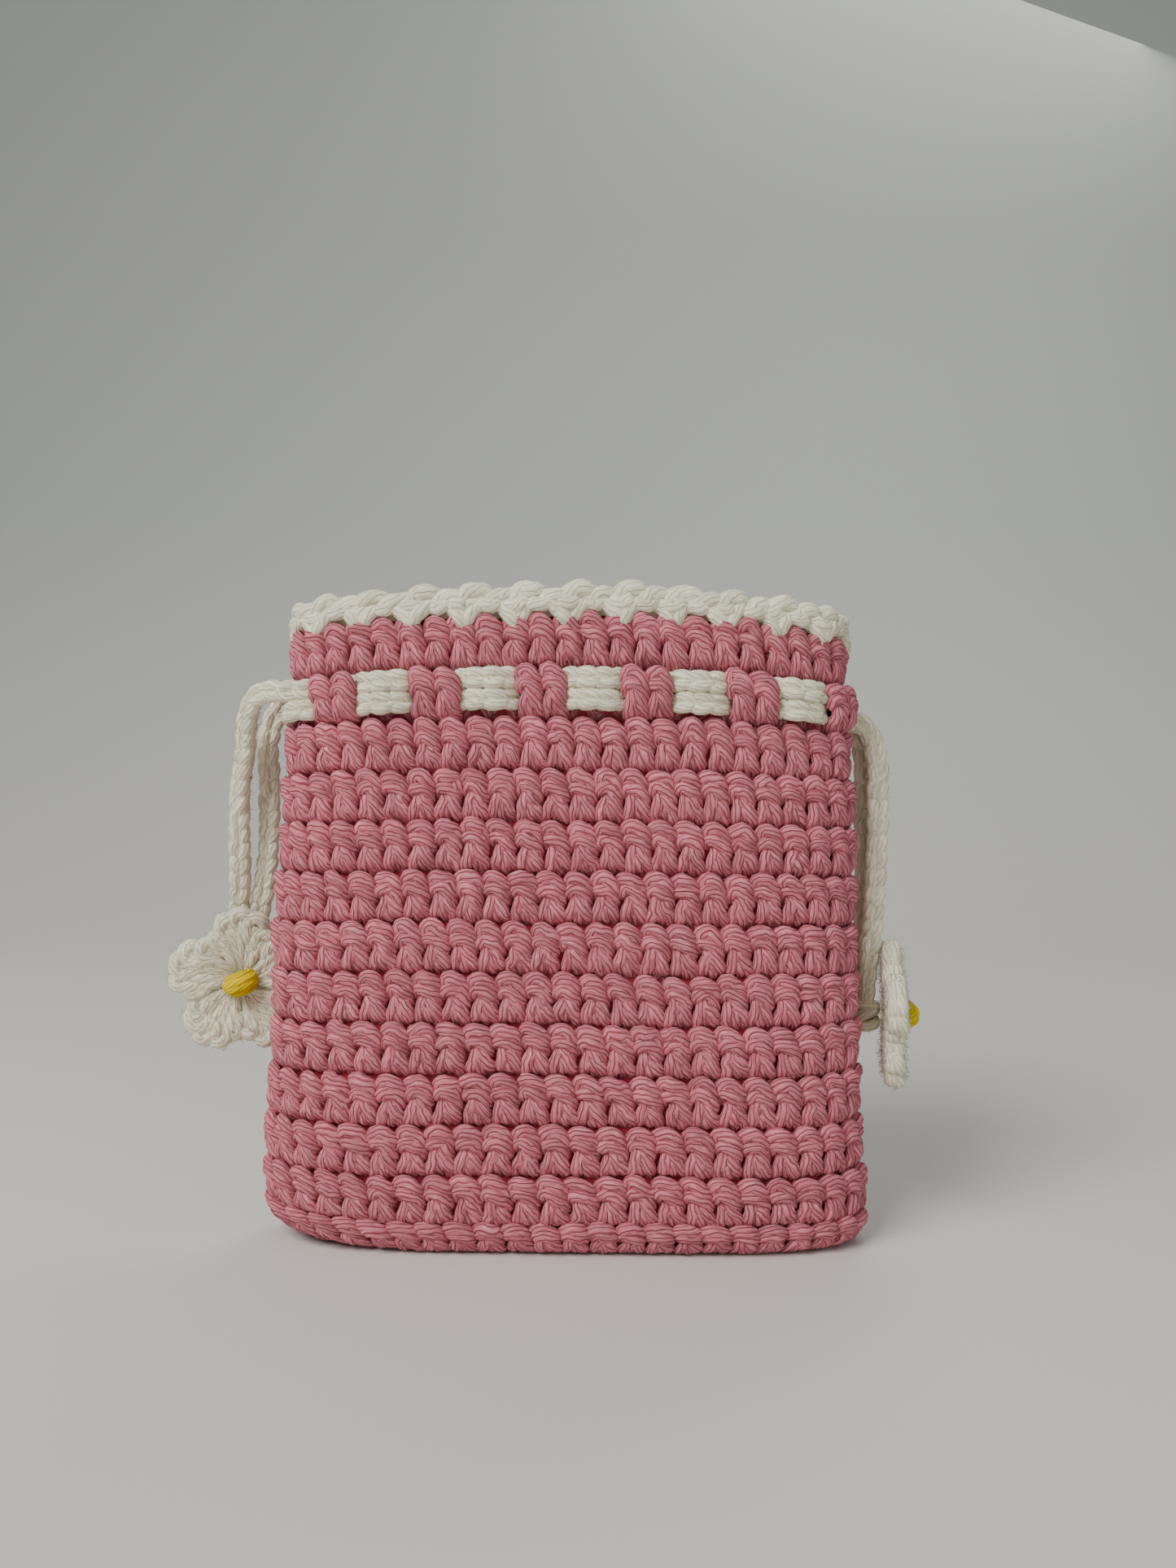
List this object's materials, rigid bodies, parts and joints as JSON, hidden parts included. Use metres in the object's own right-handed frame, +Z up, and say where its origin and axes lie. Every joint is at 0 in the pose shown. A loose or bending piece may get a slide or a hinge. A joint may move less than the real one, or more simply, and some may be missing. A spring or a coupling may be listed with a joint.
{
  "type": "drawstring dice bag",
  "caption": "Flat crocheted pouch with a scalloped edge, closed by opposed drawstrings woven through its neck, each ending in a knot and a flower.",
  "frame": {"origin": "middle of the bag's bottom, on the plane it stands on", "axes": "+Z up to the mouth, -Y towards the front face, +X to the right of someone who looks at the front"},
  "size_m": [0.1368, 0.0312, 0.1153],
  "materials": {
    "pink_yarn": "matt crocheted acrylic yarn",
    "white_yarn": "matt crocheted acrylic yarn",
    "yellow_yarn": "matt crocheted acrylic yarn"
  },
  "bodies": {
    "bag": {"base": "pink_yarn", "body_wall": "pink_yarn", "cord_round": "pink_yarn", "top_round": "pink_yarn", "edging": "white_yarn", "left_cord_loop": "white_yarn", "right_cord_loop": "white_yarn", "left_front_tail_bend": "white_yarn", "left_back_tail_bend": "white_yarn", "right_front_tail_bend": "white_yarn", "right_back_tail_bend": "white_yarn"},
    "left_tail": {"left_front_tail_drop": "white_yarn", "left_back_tail_drop": "white_yarn"},
    "left_end": {"left_knot": "white_yarn"},
    "left_flower": {"left_flower_petals": "white_yarn", "left_flower_centre": "yellow_yarn"},
    "right_tail": {"right_front_tail_drop": "white_yarn", "right_back_tail_drop": "white_yarn"},
    "right_end": {"right_knot": "white_yarn"},
    "right_flower": {"right_flower_petals": "white_yarn", "right_flower_centre": "yellow_yarn"}
  },
  "joints": [
    {"name": "left_swing", "type": "hinge", "parent": "bag", "child": "left_tail", "pos_m": [-0.05476, 0, 0.09449], "axis": [0, 1, 0], "range_deg": [0, 100], "deforming": ["left_front_tail_bend", "left_back_tail_bend"]},
    {"name": "left_pull", "type": "slide", "parent": "left_tail", "child": "left_end", "axis": [0, 0, -1], "range_m": [0, 0.02], "deforming": ["left_front_tail_drop", "left_back_tail_drop"]},
    {"name": "left_twist", "type": "hinge", "parent": "left_end", "child": "left_flower", "pos_m": [-0.06066, 0.0124, 0.04309], "axis": [0, 0, 1], "range_deg": [0, 75]},
    {"name": "right_swing", "type": "hinge", "parent": "bag", "child": "right_tail", "pos_m": [0.05396, 0, 0.09069], "axis": [0, -1, 0], "range_deg": [0, 100], "deforming": ["right_front_tail_bend", "right_back_tail_bend"]},
    {"name": "right_pull", "type": "slide", "parent": "right_tail", "child": "right_end", "axis": [0, 0, -1], "range_m": [0, 0.02], "deforming": ["right_front_tail_drop", "right_back_tail_drop"]},
    {"name": "right_twist", "type": "hinge", "parent": "right_end", "child": "right_flower", "pos_m": [0.05486, 0.007, 0.03859], "axis": [0, 0, 1], "range_deg": [-10, 90]}
  ],
  "couplings": [
    {"joint": "right_pull", "follows": "left_pull", "ratio": 1}
  ]
}
